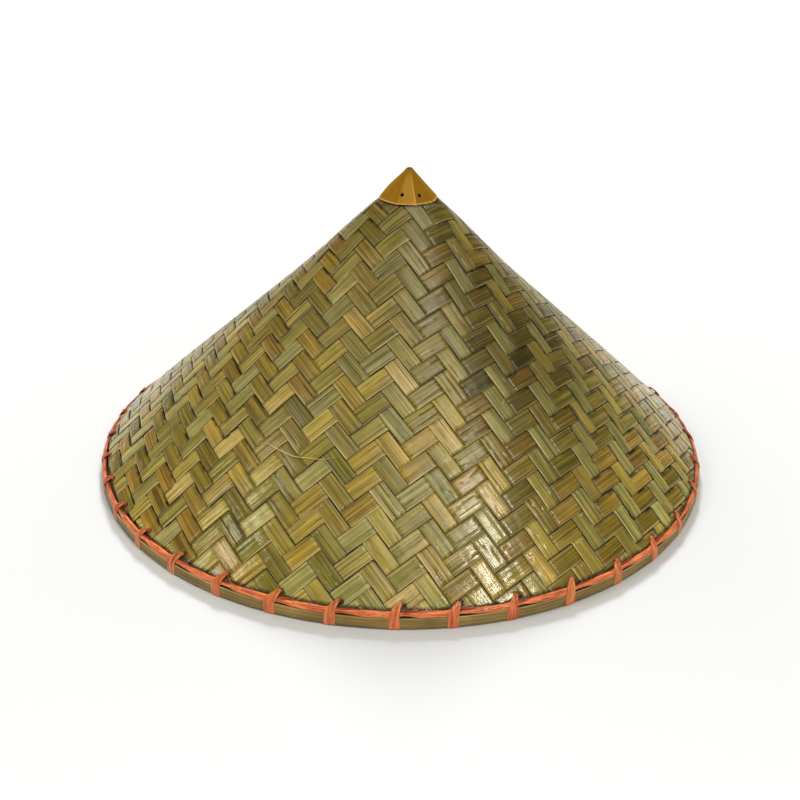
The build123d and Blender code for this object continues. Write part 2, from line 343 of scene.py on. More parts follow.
def splint_tone(family, number, along, local):
    tone = SPLINT_TONES[local.choice(len(SPLINT_TONES), p=TONE_SHARES)]
    other = SPLINT_TONES[local.choice(len(SPLINT_TONES), p=TONE_SHARES)]
    blend = ramp(0.5 + 0.9 * waves(along / 0.25, number + 7 * family))
    return (tone + (other - tone) * 0.75 * blend) * local.uniform(0.86, 1.16)


def soft_patch(azimuth, slant, middle, reach):
    """1 in the middle of a soft round patch, falling off to 0."""
    return bell(azimuth, middle[0], reach[0]) * bell(slant, middle[1], reach[1])


def splint_tints(family, number, along, slant, azimuth, level, dimple, local):
    """The colour at each point: pale pith with painted highlight on the lower edge, and painted
    shade on the upper edge, underneath and where tucked in.
    """
    upslope = ramp(np.abs(np.sin(azimuth * SHEET_TURN - SPLINT_NORMALS[family])), 0.35, 0.5)
    # Painted sheen on splints that run up the slope, painted shade on those that run across it.
    tone = CROSSWISE_SHADE_TONE + (UPSLOPE_SHEEN_TONE - CROSSWISE_SHADE_TONE) * upslope[..., None]
    tint = splint_tone(family, number, along, local)[:, None] * tone
    # Painted shade on the upper long edge, pale pith with painted highlight on the lower.
    edge_light_and_shade = (EDGE_PITH_HIGHLIGHT_AND_SHADE * np.where(EDGE_PITH_HIGHLIGHT_AND_SHADE > 0, local.uniform(0.1, 1.0), 1))[:, None]
    tint = tint + (EDGE_PITH_HIGHLIGHT_TINT - tint) * np.maximum(edge_light_and_shade, 0) + tint * np.minimum(edge_light_and_shade, 0)
    # The underside takes painted shade.
    tint[:, -3:] = UNDERSIDE_SHADE_TINT
    # Painted shade where the splint dives under the one it crosses.
    tucked = 0.05 + 0.95 * ramp((level + 0.45) / 0.65)
    # Painted shade of a wider gap, in places along the upper edge and round at the sides.
    lens = ramp(0.45 + waves(along / 0.03, number + 170))
    gap_shade = lens * ramp(np.abs(np.sin(azimuth)), 0.45, 0.3)
    tint *= 1 - (GAP_SHADE_EDGE * gap_shade)[..., None]
    rim_shadow = 1 - 0.8 * ramp(slant, RIM_SHADOW_SLANT, 1.2 * MM)
    shady = soft_patch(azimuth, slant, SHADY_PATCH, SHADY_REACH) * (1 - 0.38 * upslope)
    # Painted sheen in the middle of the front.
    pale = 1 + SHEEN_PATCH_GAIN * soft_patch(azimuth, slant, SHEEN_PATCH, SHEEN_PATCH_REACH)
    # The shady patch's painted shade and the front's painted sheen.
    patch_shade_and_sheen = (1 - SHADY_TONE * SHADY_DEPTH * shady[..., None]) * pale[..., None]
    # Painted shade where tucked in and in the lacing's dimples; the colour also grows lighter
    # towards the rim.
    shade = tucked * rim_shadow * (1 - 0.95 * dimple) * (0.775 + 0.58 * slant / SLANT_END)
    # Painted shadow under the cap and just below its edge.
    cap_shadow = 1 - 0.93 * ramp(slant, CAP_SHADE_SLANT, -1.5 * MM)
    sheen = bell(azimuth, SHEEN_AZIMUTH, SHEEN_REACH)[..., None]
    return tint * (shade * cap_shadow)[..., None] * patch_shade_and_sheen * (1 + (SHEEN_TONE - 1) * sheen)


def add_splint(batch, family, number):
    local = np.random.RandomState(1000 * family + number)
    distance = (number + 0.5) * PITCH
    reach = sqrt(SLANT_END ** 2 - (distance - PITCH / 2) ** 2)
    along = np.linspace(-reach, reach, int(2 * reach / SPLINT_STEP))[:, None]
    level = twill_level(family, number, along)

    half_width = PITCH / 2 - local.uniform(0.12, 0.42) * MM
    half_width = half_width * (1 + 0.02 * waves(along / 0.09, number))
    across = half_width * SPLINT_ROW + 0.25 * MM * waves(along / 0.12, number + 50)

    crown = 0.10 * MM * (1 - SPLINT_ROW ** 2)
    edge = np.where(np.abs(SPLINT_ROW) > 0.99, -0.26 * MM, 0)
    top = np.tile(crown + edge, (len(along), 1))
    for place in CRACK_PLACES:
        depth = local.choice([0.0, 0.2, 0.45]) * MM
        top[:, [place]] -= depth * ramp(0.5 + waves(along / 0.06, number * 7 + place))
        across[:, [place]] += 0.5 * MM * waves(along / 0.15, number * 11 + place)
    wrinkle = 0.045 * MM * waves(along / 0.011, number + 90)
    cup = 0.05 * MM * (waves(along / 0.02, number + 130) * SPLINT_ROW)

    under = np.full((len(along), 3), -SPLINT_THICKNESS)
    lift = np.concatenate([top + wrinkle + cup, under], 1)
    bow = 0.14 * MM * np.maximum(level, 0) ** 2
    lift = lift + (level * WEAVE_DEPTH - WEAVE_DEPTH - 0.12 * MM + bow)
    sideways = np.concatenate([across, across[:, [-2, 6, 1]]], 1)
    place = distance + sideways
    turn = SPLINT_NORMALS[family] + np.arctan2(along, place)
    slant, turn = drifted(np.hypot(place, along), turn)
    azimuth = turn / SHEET_TURN
    dimple = pit(slant, azimuth)
    points = on_cone(slant, turn, lift - PIT_DEPTH * dimple)
    tint = splint_tints(family, number, along, slant, azimuth, level, dimple, local)
    inwards = np.append(1 - SPLINT_ROW ** 8, [0, 0, 0])
    shine = ramp(level, 0.8, 0.19) * inwards
    batch.grid(points, stacked(along + number, sideways, 0.37 * number + family), tint, shine=shine)


def make_outer_weave(material):
    count = int(SLANT_END / PITCH)
    for family, name in enumerate(("falling_splints", "rising_splints", "cross_splints")):
        for start, half in enumerate(("even", "odd")):
            batch = Batch()
            for number in range(start, count, 2):
                add_splint(batch, family, number)
            batch.piece(f"{name}_{half}", material, "outer_weave", "green_bamboo")


def make_loose_fibre(material):
    """A thin fibre that has come away from a splint, on the left."""
    bends = [(195.4, -27.1, 0.2), (192.9, -25.6, 0.9), (194.0, -23.3, 1.2), (194.9, -21.2, 1.3),
             (195.7, -18.9, 1.4), (194.6, -16.6, 1.4), (193.8, -14.0, 1.2), (190.5, -11.5, 0.8)]
    slant, turn, lift = curve_through(bends, 5).T[..., None]
    thickness = 0.24 * MM * np.sin(np.linspace(0.25, pi - 0.25, len(slant)))[:, None]
    slant = slant * MM + thickness * np.cos(around(6))
    lift = lift * MM + thickness * np.sin(around(6))
    batch = Batch()
    batch.grid(on_cone(slant, np.radians(turn), lift), stacked(slant, 0, 0), (0.62, 0.47, 0.22))
    batch.piece("loose_fibre", material, "outer_weave", "green_bamboo")


# ---- rim hoops
HOOP_BEVEL = 0.35 * MM
HOOP_SLANT = 8.5 * MM  # how far round the scarf runs over the hoop's thickness, each way
HOOP_TINT = (0.235, 0.160, 0.046)
# The top outer edge: its pale cut edge, with painted highlight.
HOOP_EDGE_PITH_HIGHLIGHT_TINT = (0.40, 0.29, 0.11)
# Painted shade under the hoop and at its inner top corner, painted shadow on its top face under the
# strand.
HOOP_SHADE_TINT = (0.13, 0.09, 0.03)
HOOP_TOP_SHADOW_TINT = (0.035, 0.016, 0.008)
HOOP_RINGS = 520


def add_hoop(batch, outside, thickness, low, high, start, seed):
    """A bent lath.  Its ends are cut on a slant and meet at the azimuth start."""
    inside = outside - thickness
    middle, halfway = (inside + outside) / 2, (low + high) / 2
    bevel = HOOP_BEVEL
    section = np.array([
        (outside - bevel, high), (outside, high - bevel), (outside, high - 2 * bevel),
        (outside, halfway), (outside, high * 0.25 + low * 0.75), (outside, low + bevel),
        (outside - bevel, low), (middle, low), (inside + bevel, low), (inside, low + bevel),
        (inside, halfway), (inside, high - bevel), (inside + bevel, high), (middle, high),
    ])
    gap = 0.15 * MM / middle
    azimuth = np.linspace(start + gap, start + FULL_TURN - gap, HOOP_RINGS)[:, None]
    run = azimuth * middle
    radius = section[:, 0] + 0.07 * MM * waves(run / 0.021, seed) * (section[:, 0] > middle)
    tall = (section[:, 1] - low) / (high - low)
    height = section[:, 1] + 0.16 * MM * waves(run / 0.05, seed + 1) * (tall - 0.5)
    height = height - 0.12 * MM * bell(waves(run / 0.035, seed + 2) * 2) * (tall > 0.9)
    slanted = azimuth + (section[:, 0] - middle) / (outside - inside) * 2 * HOOP_SLANT / middle
    # Painted highlight on the top outer edge, painted shade underneath and at the inner top corner,
    # painted shadow on top.
    shades = np.array([HOOP_EDGE_PITH_HIGHLIGHT_TINT] * 2 + [HOOP_TINT] * 4 + [HOOP_SHADE_TINT] * 3
                      + [HOOP_TINT] * 3 + [HOOP_SHADE_TINT, HOOP_TOP_SHADOW_TINT])
    tints = shades * (1 + 0.12 * waves(run / 0.06, seed + 3))[..., None]
    lengths = np.cumsum(np.hypot(*np.diff(section, axis=0, prepend=section[:1]).T))
    batch.grid(polar(radius, slanted, height), stacked(run, lengths, seed), tints)


def make_hoops(material):
    outer, inner = Batch(), Batch()
    add_hoop(outer, RIM_RADIUS, OUTER_HOOP_THICKNESS, hoop_low.z, hoop_high.z, radians(48), 3)
    add_hoop(inner, INNER_HOOP_RADIUS, INNER_HOOP_THICKNESS, inner_hoop_low.z, inner_hoop_high.z,
             radians(220), 8)
    outer.piece("outer_hoop", material, "rim_outer_hoop", "olive_bamboo")
    inner.piece("inner_hoop", material, "rim_inner_hoop", "olive_bamboo")


# ---- rim lacing
RIBBON_TINT = np.array([0.66, 0.175, 0.055])
# painted shade for the band that lies back against the weave
RIBBON_SHADE_TINT = np.array([0.34, 0.050, 0.022])
# painted shade round at the sides of the hat
RIBBON_SIDE_SHADE = np.array([0.28, 0.30, 0.15])
RIBBON_THICKNESS = 0.4 * MM
STRAND_STEP = 1.1 * MM
UNDER_ROW = [-1, 6, 3, 0]  # places in a ribbon's row above the four places of its underside


def ribbon_side_shade(azimuth):
    """Painted shade: how much darker the ribbon is round at the sides."""
    side = ramp(np.abs(np.sin(azimuth)), 0.72, 0.24)
    return 1 - RIBBON_SIDE_SHADE * side[..., None]


def phase_between_loops(azimuth):
    """0 at a loop, rising to 1 at the next loop to the right."""
    nodes = np.concatenate([LOOP_AZIMUTHS, LOOP_AZIMUTHS[:1] + FULL_TURN])
    turned = wrapped_to(azimuth, nodes[0])
    index = np.clip(np.searchsorted(nodes, turned, side="right") - 1, 0, LOOP_COUNT - 1)
    return (turned - nodes[index]) / (nodes[index + 1] - nodes[index]), index


def add_running_band(batch, lower, upper, crown, seed, tint):
    """A folded band of ribbon round the rim, between two edges of (radius, height) rows.

    crown is how far it stands out between them."""
    azimuth = around(len(lower))[:, None] - pi
    run = azimuth * RIM_RADIUS
    share = np.array([0, 0.04, 0.16, 0.32, 0.46, 0.58, 0.72, 0.88, 0.97, 1.0])[None]
    bulge = np.array([-0.25, 0.1, 0.55, 0.85, 1.05, 0.8, 0.75, 0.45, 0.15, -0.15])[None]
    crease_a = bell((share - 0.38 - 0.13 * waves(run / 0.03, seed)) / 0.055)
    crease_b = bell((share - 0.70 - 0.10 * waves(run / 0.024, seed + 1)) / 0.05)
    rumple = 0.10 * waves(run / 0.0065 + 4 * share, seed + 2)
    out = crown[:, None] * bulge + MM * (rumple - 0.28 * crease_a - 0.20 * crease_b)
    span = upper - lower
    facing = stacked(span[:, 1], -span[:, 0])
    facing = facing / np.linalg.norm(facing, axis=1, keepdims=True)
    middle = lower[:, None] + share[..., None] * span[:, None]
    under = middle[:, UNDER_ROW] - 0.35 * MM * facing[:, None]
    section = np.concatenate([middle + out[..., None] * facing[:, None], under], 1)
    radius, height = section[..., 0], section[..., 1]
    widths = np.linalg.norm(span, axis=1, keepdims=True)
    widths = widths * np.concatenate([share[0], share[0, UNDER_ROW]])
    # Painted shade in the creases, at the edges and underneath, with a little painted light between
    # the creases.
    fold_shade = 1.12 - 0.55 * crease_a - 0.45 * crease_b
    fold_shade[:, 0] = fold_shade[:, -1] = 0.4
    shade = np.concatenate([fold_shade, np.full((len(lower), len(UNDER_ROW)), 0.4)], 1)
    shade = shade * (1 + 0.14 * waves(run / 0.02, seed + 4))
    tints = tint * shade[..., None] * ribbon_side_shade(azimuth)
    batch.grid(polar(radius, azimuth, height), stacked(run, widths, seed), tints, loop=True)


def make_strand(material):
    """The running ribbon: tucked in right of each loop, wide left of it."""
    azimuth = around(int(FULL_TURN * RIM_RADIUS / STRAND_STEP)) - pi
    run = azimuth * RIM_RADIUS
    phase, index = phase_between_loops(azimuth)
    local = np.random.RandomState(12)
    fullness = local.uniform(0.55, 1.0, LOOP_COUNT)[index]
    peak = local.uniform(0.55, 0.8, LOOP_COUNT)[index]
    rise = ramp(phase, 0.10, peak - 0.10) * fullness
    ease = 1 - 0.35 * ramp(phase, peak, 1.02 - peak)
    wide = rise * ease + 0.45 * bell(phase / 0.09) + 0.45 * bell(phase, 1, 0.07)
    lay = wide + 0.10 * waves(run / 0.013, 21)

    outer_edge = RIM_RADIUS - 0.15 * MM + 0.12 * MM * waves(run / 0.012, 22)
    lower = stacked(outer_edge, hoop_high.z + MM * (0.35 + 0.18 * waves(run / 0.016, 23)))
    tucked = np.clip(1 - wide, 0, 1) * bell(phase, 0.2, 0.28)
    lower = lower + stacked(-0.9 * MM * tucked, 0.95 * MM * tucked)
    inner_edge = RIM_RADIUS - MM * (2.3 + 0.85 * lay)
    on_weave = APEX_HEIGHT - SLOPE * inner_edge + 0.45 * MM
    upper = stacked(inner_edge, np.minimum(on_weave, hoop_high.z + MM * (2.1 + 1.6 * lay)))
    bands = Batch()
    add_running_band(bands, lower, upper, MM * (0.35 + 0.45 * lay), 31, RIBBON_TINT)

    behind = ramp(1 - np.abs(phase - 0.24) / 0.3) * local.uniform(0.3, 1.0, LOOP_COUNT)[index]
    lower = stacked(inner_edge + 0.5 * MM, upper[:, 1] - 0.9 * MM)
    inner_edge = inner_edge - MM * (0.1 + 0.95 * behind)
    upper = stacked(inner_edge, APEX_HEIGHT - SLOPE * inner_edge + 0.42 * MM)
    # The band that lies back against the weave takes painted shade.
    add_running_band(bands, lower, upper, MM * (0.1 + 0.25 * behind), 41, RIBBON_SHADE_TINT)
    bands.piece("binding_strand", material, "rim_binding_strand", "cane_ribbon")


# A loop of the lacing, from its tip in the weave, over the strand, round both hoops and back up:
# radius, height, half width, shift to the right and how far it is rolled up, all mm but the last.
LOOP_STATIONS = np.array([
    (205, 10.4, 0.75, 4.6, 1), (204.2, 12.6, 0.95, 4.3, 1), (204.5, 13.55, 1.35, 3.7, 0.9),
    (205.6, 13.1, 1.95, 2.8, 0.6), (206.9, 12.3, 2.45, 1.8, 0.35), (208.4, 11, 2.75, 0.9, 0.2),
    (209.5, 9.5, 2.9, 0.3, 0.15), (210.2, 8, 3.05, 0.05, 0.05), (210.32, 6.4, 3.25, 0, 0),
    (210.33, 4, 3.3, 0, 0), (210.33, 1.4, 3.3, 0, 0), (210.12, 0.55, 3.3, 0, 0),
    (209.3, 0.32, 3.3, 0, 0), (206, 0.3, 3.3, 0, 0), (202.7, 0.32, 3.3, 0, 0),
    (202, 0.7, 3.3, 0, 0), (201.87, 2, 3.25, 0.1, 0), (201.85, 5, 3.2, 0.5, 0),
    (201.9, 7.4, 3, 1.1, 0.05), (202.3, 8.8, 2.3, 2.2, 0.3), (203, 10.3, 1.4, 3.6, 0.8),
    (203.9, 11.6, 0.8, 4.4, 1),
], float)
LOOP_ROW = np.array([-1, -0.93, -0.66, -0.38, -0.12, 0.12, 0.38, 0.66, 0.93, 1])


def add_loop(batch, azimuth, number):
    local = np.random.RandomState(500 + number)
    stations = LOOP_STATIONS.copy()
    over = stations[1:7]  # the ones over the strand
    over[:, 3] += local.uniform(-0.6, 0.6)
    over[:, 2] *= local.uniform(0.88, 1.1)
    over[:, 1] += local.uniform(-0.35, 0.25)
    path = curve_through(stations, 5) * [MM, MM, MM, MM, 1]
    radius, height, half, shift, rolled = path.T[..., None]
    rolled = np.clip(rolled, 0, 1)
    on_face = ramp(height, hoop_high.z, -hoop_high.z) * (radius > RIM_RADIUS)
    shift = shift + local.uniform(-0.5, 0.5) * MM * on_face
    step_r, step_z = np.gradient(radius, axis=0), np.gradient(height, axis=0)
    length = np.hypot(step_r, step_z)
    facing_r, facing_z = -step_z / length, step_r / length
    run = np.cumsum(length)[:, None]

    side = LOOP_ROW
    arch = np.sqrt(np.clip(1.02 - side ** 2, 0, 1)) * rolled * 0.85
    over_strand = ramp(radius, 204 * MM, 2 * MM) * ramp(height, 6.5 * MM, 2 * MM)
    fold = local.uniform(-0.35, 0.1) + 0.5 * (run / run[-1]) * 6 % 1.2 - 0.2
    crease = bell(side, fold, 0.16) * (0.10 + 0.30 * over_strand)
    ridge = bell(side, -0.62, 0.22) * 0.28 * over_strand
    rumple = 0.06 * waves(run / 0.0035 + 1.3 * side, number) * (0.3 + over_strand)
    edge = -0.12 * (np.abs(side) > 0.97)
    lift = MM * (arch + ridge - crease + rumple + edge + 0.06 * (1 - side ** 2))
    lift = np.minimum(lift, 0.2 * MM * (1 + 9 * np.maximum(over_strand, rolled)))

    aside = shift + half * side * (1 + 0.025 * waves(run / 0.006 + side, number + 9))
    aside = np.concatenate([aside, aside[:, UNDER_ROW]], 1)
    lift = np.concatenate([lift, lift[:, UNDER_ROW] - RIBBON_THICKNESS], 1)
    height_round = np.maximum(height + facing_z * lift, loops_low.z + 0.02 * MM)
    points = polar(radius + facing_r * lift, azimuth + aside / RIM_RADIUS, height_round)
    tip = ramp(height, 12 * MM, 2 * MM)
    # Painted shade in the creases, on the rolled part, on the tip's right side and underneath.
    fold_shade = 1.08 - 1.1 * crease - 0.25 * rolled - 0.25 * tip * bell(side, 0.5, 0.4)
    shade = np.concatenate([fold_shade, np.full((len(run), len(UNDER_ROW)), 0.5)], 1)
    tone = RIBBON_TINT * local.uniform(0.86, 1.1) * np.array([1, local.uniform(0.9, 1.15), 1])
    tone = tone * ribbon_side_shade(azimuth)
    batch.grid(points, stacked(run, aside, 0.73 * number), tone * shade[..., None])


def make_loops(material):
    batch = Batch()
    for number, azimuth in enumerate(LOOP_AZIMUTHS):
        add_loop(batch, azimuth, number)
    batch.piece("binding_loops", material, "rim_binding_loops", "cane_ribbon")


# ---- tip cap
CAP_SEAM = radians(15)  # azimuth of the cut edge that shows
CAP_OVERLAP = radians(50)
CAP_SHEET = 0.45 * MM
CAP_FOLDS = np.radians([-165, -118, -76, -24, 15, 58, 104, 150, 195])
CAP_TINT = np.array([0.262, 0.124, 0.001])
# The paler overlapping wedge, and painted highlight along the fold at the seam.
CAP_PALE_AND_HIGHLIGHT_TINT = np.array([0.42, 0.215, 0.020])
CAP_EDGE_TINT = np.array([0.60, 0.36, 0.10])
CAP_GREEN_TINT = np.array([0.14, 0.16, 0.01])  # near the tip
PUNCH_RADIUS = 1.1 * MM
# painted shade on the walls of the punched holes
PUNCH_SHADE_TINT = (0.10, 0.045, 0.006, 1)
PUNCHES = ((radians(-18), 0.73), (radians(27), 0.745))  # azimuth, share down the side


def cap_outline(share):
    """Radius and height down the cap's side; share is 0 at the tip and 1 at the lower edge."""
    tip = 1.5 * MM
    drop = cap_high.z - (cap_low.z + 0.9 * MM)
    return tip + (cap_high.x - tip) * share, cap_high.z - drop * share ** 0.97


def make_cap(material):
    """A sheet rolled into a cone, with a free edge down the front and two punched holes."""
    back = np.linspace(0, FULL_TURN + CAP_OVERLAP, 150)[:, None]  # angle from the cut edge
    azimuth = CAP_SEAM - back
    share = np.concatenate([np.linspace(0, 0.94, 19), [0.985, 1.0]])[None]
    radius, height = cap_outline(share)
    turned = wrapped_to(azimuth, CAP_FOLDS[0])
    fold = np.clip(np.searchsorted(CAP_FOLDS, turned, side="right") - 1, 0, len(CAP_FOLDS) - 2)
    start, end = CAP_FOLDS[fold], CAP_FOLDS[fold + 1]
    flat = np.cos((end - start) / 2) / np.cos(turned - (end + start) / 2)
    radius = radius * (1 - 0.45 * (1 - flat))
    layer = CAP_SHEET * (1.15 - 1.3 * back / back[-1])
    lip = 0.35 * MM * bell(back / radians(7)) * share
    flank = bell(turned, -radians(85), radians(38)) * bell(share, 0.6, 0.4)
    ragged = 0.07 * MM * waves(back * 3.5, 61) + 0.14 * MM * waves(back * 0.6, 62)
    height = height - ragged * (share > 0.99) - 0.5 * ragged * (share > 0.95)
    hang = 0.9 * MM * bell(azimuth, radians(78), radians(22)) * share ** 3
    skin = radius + layer + (lip + 1.5 * MM * flank)
    inner = polar(np.maximum(skin - CAP_SHEET, 0.1 * MM), azimuth,
                  height - hang - 0.5 * MM * (share < 0.02))
    rows = both_faces(polar(skin, azimuth, height - hang), inner)

    wedge = ramp(back, radians(42), -radians(8)) * ramp(share * 3)
    # Painted highlight along the fold at the seam.
    seam_highlight = bell(back, radians(2), radians(2.5))
    rim = ramp(share, 0.955, 0.03) * ramp(0.75 + 0.5 * waves(back * 4, 63))
    green = bell(azimuth, -radians(10), 0.5) * bell(share, 0.03, 0.07)
    tint = CAP_TINT + (CAP_PALE_AND_HIGHLIGHT_TINT - CAP_TINT) * (0.75 * wedge + 1.2 * seam_highlight)[..., None]
    tint = tint + (CAP_EDGE_TINT - tint) * rim[..., None]
    tint = tint + (CAP_GREEN_TINT - tint) * 0.7 * green[..., None]
    fibre = stacked(both_faces(share, share) * cap_high.x, back * 12 * MM, 0)
    batch = Batch()
    # The inner face takes painted shade.
    batch.grid(rows, fibre, both_faces(tint, tint * 0.4))
    cap = batch.piece("rolled_cap", material, "tip_cap", "amber_bamboo", smooth_angle=28)
    punch_holes(cap)


def paint_hole_shade(cap, place, outwards):
    """The wall that a punch leaves takes a dark tint: painted shade in the hole."""
    tint = cap.data.attributes["tint"]
    for vertex in cap.data.vertices:
        aside = vertex.co - place
        aside = aside - outwards * aside.dot(outwards)
        if aside.length < 1.02 * PUNCH_RADIUS and (vertex.co - place).length < 3 * MM:
            tint.data[vertex.index].color = PUNCH_SHADE_TINT


def punch_holes(cap):
    slope = atan2(cap_high.z - cap_low.z, cap_high.x)
    for azimuth, share in PUNCHES:
        radius, height = cap_outline(share)
        place = Vector(polar(radius, azimuth, height))
        outwards = direction(azimuth, pi / 2 - slope)
        bpy.ops.mesh.primitive_cylinder_add(vertices=24, radius=PUNCH_RADIUS, depth=7 * MM,
                                            location=place)
        punch = bpy.context.object
        punch.rotation_euler = outwards.to_track_quat("Z", "Y").to_euler()
        cap.modifiers.new("punch", "BOOLEAN").object = punch
        bpy.context.view_layer.update()
        shaped = cap.evaluated_get(bpy.context.evaluated_depsgraph_get())
        shaped = bpy.data.meshes.new_from_object(shaped)
        cap.modifiers.clear()
        cap.data = shaped
        bpy.data.objects.remove(punch)
        paint_hole_shade(cap, place, outwards)


# ---- inside
LEAF_COUNT = 34
LEAF_TINTS = np.array([[0.20, 0.125, 0.045], [0.155, 0.10, 0.03],
                       [0.26, 0.17, 0.07], [0.13, 0.105, 0.04]])
LINING_LIFT = -1.45 * MM
LINING_TINT = (0.13, 0.085, 0.035)


def add_leaf(batch, number, tip_up, lift):
    """A long leaf that lies up the cone, tilted so that it overlaps the next one."""
    local = np.random.RandomState(700 + number + 100 * tip_up)
    along = np.linspace(0, 1, 30)[:, None]
    side = np.array([-1, -0.7, -0.4, -0.1, 0, 0.1, 0.4, 0.7, 1])[None]
    start, end = 14 * MM, SLANT_END - 2 * MM
    slant = start + (end - start) * (1 - along if tip_up else along)
    blade = (np.sin(pi * np.clip(along * 0.86 + 0.10, 0, 1)) ** 0.55) * local.uniform(24, 29) * MM
    blade = np.minimum(blade, 0.95 * (SHEET_WHOLE * slant / LEAF_COUNT) + 3 * MM)
    turn = SHEET_WHOLE * (number + 0.5 * tip_up + local.uniform(-0.12, 0.12)) / LEAF_COUNT
    turn = turn + side * blade / slant + 0.03 * waves(along, number)
    fold = 0.10 * MM * bell(side / 0.12) + 0.035 * MM * waves(along * 9 + side, number + 3)
    face = lift + 0.16 * MM * side - fold
    rows = both_faces(on_cone(slant, turn, face), on_cone(slant, turn, face + 0.07 * MM))
    tint = LEAF_TINTS[local.choice(len(LEAF_TINTS))] * local.uniform(0.85, 1.2)
    vein = 1 + 0.5 * bell(both_faces(side, side) / 0.08)
    fibre = stacked(slant, both_faces(side * blade, side * blade), number)
    batch.grid(rows, fibre, tint * vein[..., None])


def make_lining(material):
    leaves = Batch()
    for number in range(LEAF_COUNT):
        add_leaf(leaves, number, 1, LINING_LIFT)
        add_leaf(leaves, number, 0, LINING_LIFT - 0.42 * MM)
    leaves.piece("leaves", material, "leaf_lining", "dry_leaf")
    backing = Batch()
    slant = np.linspace(8 * MM, SLANT_END, 70)[:, None]
    turn = around(160) * SHEET_TURN
    slant = np.concatenate([slant, slant[::-1]])  # down its outer face, back up inside
    lift = LINING_LIFT + np.repeat([[0.32 * MM], [0.26 * MM]], len(slant) // 2, 0)
    fibre = stacked(slant, turn * slant, 0)
    backing.grid(on_cone(slant, turn, lift), fibre, LINING_TINT, loop=True)
    backing.piece("lining_paper", material, "leaf_lining", "dry_leaf")


STRIP_PITCH = 22 * MM
STRIP_WIDTH = 4.2 * MM
STRIP_THICKNESS = 0.4 * MM
STRIP_FAMILIES = 4
INNER_WEAVE_TURN = radians(240)  # of the flat sheet on which three directions close up
STRIP_TINTS = np.array([[0.44, 0.30, 0.13], [0.38, 0.27, 0.10], [0.50, 0.36, 0.17]])


def inner_weave_lift(slant):
    """The inner weave's middle: free of the leaves at the apex, against them at the rim."""
    return -MM * (2.3 + 2.0 * np.clip(1 - slant / (SKIRT_RADIUS / SHEET_TURN), 0, 1))


def add_strip(batch, family, number):
    local = np.random.RandomState(300 + 40 * family + number)
    distance = (number + 0.5) * STRIP_PITCH
    reach = sqrt(SLANT_END ** 2 - distance ** 2)
    along = np.linspace(-reach, reach, int(2 * reach / (2.2 * MM)))[:, None]
    places, levels = [], []
    for crossed in range(int(SLANT_END / STRIP_PITCH) + 1):
        other = (crossed + 0.5) * STRIP_PITCH
        for side in (-1, 1):  # strips cross it at 60 degrees from both sides
            place = (other + side * distance / 2) / sin(radians(60))
            places += [place, -place]
            levels += [-side, side]
    level = step_levels(along, places, levels)
    row = np.array([-1, -0.9, -0.3, 0.3, 0.9, 1])
    half = STRIP_WIDTH / 2 * (1 + 0.05 * waves(along / 0.07, number))
    across = half * np.append(row, [0.9, 0, -0.9])
    inside = -STRIP_THICKNESS / 2 - 0.05 * MM * (1 - row ** 2) + 0.08 * MM * (np.abs(row) > 0.95)
    lift = np.append(inside, [STRIP_THICKNESS / 2] * 3) - 0.26 * MM * level
    place = distance + across
    slant = np.hypot(place, along)
    normal = INNER_WEAVE_TURN * ((family + 0.5) / STRIP_FAMILIES - 0.5)
    turn = (normal + np.arctan2(along, place)) * SHEET_WHOLE / INNER_WEAVE_TURN
    points = on_cone(slant, turn, lift + inner_weave_lift(slant))
    tint = STRIP_TINTS[local.choice(len(STRIP_TINTS))] * local.uniform(0.85, 1.15)
    batch.grid(points, stacked(along + number, across, number + family), tint)


def make_inner_weave(material):
    batch = Batch()
    for family in range(STRIP_FAMILIES):
        for number in range(int((SLANT_END - 3 * MM) / STRIP_PITCH)):
            add_strip(batch, family, number)
    batch.piece("hexagonal_weave", material, "inner_weave", "pale_bamboo")


RING_ROWS = 5
RING_SLATS = 66
RING_WAVE = 0.42 * MM  # how far rows and slats swing in and out round each other
RING_TINTS = np.array([[0.46, 0.32, 0.14], [0.40, 0.28, 0.11], [0.52, 0.38, 0.19]])


def ring_section(half, shares, thicknesses):
    """A flat closed outline, as how far out and how far along each point is."""
    out = np.append(thicknesses, -np.array(thicknesses)[::-1]) * MM
    return out, half * np.append(shares, shares[::-1])


def add_ring_row(batch, row, middle):
    azimuth = around(RING_SLATS * 8)[:, None]
    tall = (ring_high.z - ring_low.z) / RING_ROWS
    out, up = ring_section(0.46 * tall, [1, 0.8, 0, -0.8, -1], [0.2, 0.25, 0.28, 0.25, 0.2])
    wave = RING_WAVE * np.cos(azimuth * RING_SLATS / 2 + pi * (row % 2))
    points = polar(middle + wave + out, azimuth, ring_low.z + (row + 0.5) * tall + up)
    tint = RING_TINTS[row % len(RING_TINTS)]
    batch.grid(points, stacked(azimuth * middle, up, row), tint, loop=True)


def add_ring_slat(batch, number, middle):
    azimuth = FULL_TURN * number / RING_SLATS
    tall = ring_high.z - ring_low.z
    height = np.linspace(ring_low.z + 0.3 * MM, ring_high.z - 0.3 * MM, 41)[:, None]
    wave = -RING_WAVE * np.cos(pi * ((height - ring_low.z) / tall * RING_ROWS - 0.5))
    wave = wave * (-1) ** number
    half = 0.42 * FULL_TURN * middle / RING_SLATS
    out, along = ring_section(half, [-1, -0.7, 0.7, 1], [0.18, 0.24, 0.24, 0.18])
    points = polar(middle + wave + out, azimuth + along / middle, height)
    tint = RING_TINTS[number % len(RING_TINTS)] * (0.85 + 0.05 * (number % 5))
    batch.grid(points, stacked(height, along, number), tint)


def make_head_ring(material):
    middle = ring_high.x - 1.0 * MM
    batch = Batch()
    for row in range(RING_ROWS):
        add_ring_row(batch, row, middle)
    for number in range(RING_SLATS):
        add_ring_slat(batch, number, middle)
    batch.piece("woven_head_ring", material, "head_ring", "pale_bamboo")


